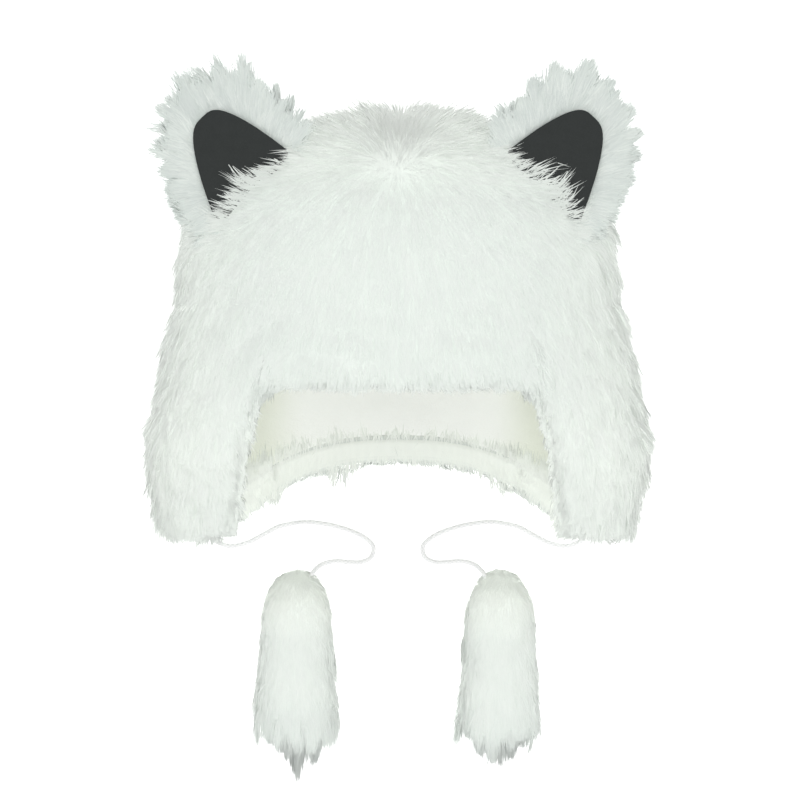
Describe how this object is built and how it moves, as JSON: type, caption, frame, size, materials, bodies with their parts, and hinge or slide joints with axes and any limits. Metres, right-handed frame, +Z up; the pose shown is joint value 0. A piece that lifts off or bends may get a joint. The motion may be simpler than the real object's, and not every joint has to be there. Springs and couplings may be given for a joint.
{
  "type": "bear ear earflap hat",
  "caption": "Deep white faux fur hat with round dark-faced ears, ear flaps and fur tassels on round cords, lying on its back.",
  "frame": {"origin": "bottom centre of the hat with its tassels, as it lies on its back, without the cords", "axes": "+X across the face, +Y from the tassels up to the crown, +Z up, out of the face"},
  "size_m": [0.3106, 0.4306, 0.1409],
  "materials": {
    "fur": "deep soft white faux fur",
    "ear_felt": "matt black short-napped felt",
    "lining": "short cream plush",
    "cord": "matt white braided round cord"
  },
  "bodies": {
    "root": {"lining": "lining", "crown_front": "fur", "crown_back": "fur", "earflap_left": "fur", "earflap_right": "fur", "ear_left": "fur", "ear_right": "fur", "inner_ear_left": "ear_felt", "inner_ear_right": "ear_felt", "cord_left": "cord", "cord_right": "cord", "tassel_left": "fur", "tassel_right": "fur"}
  },
  "joints": []
}
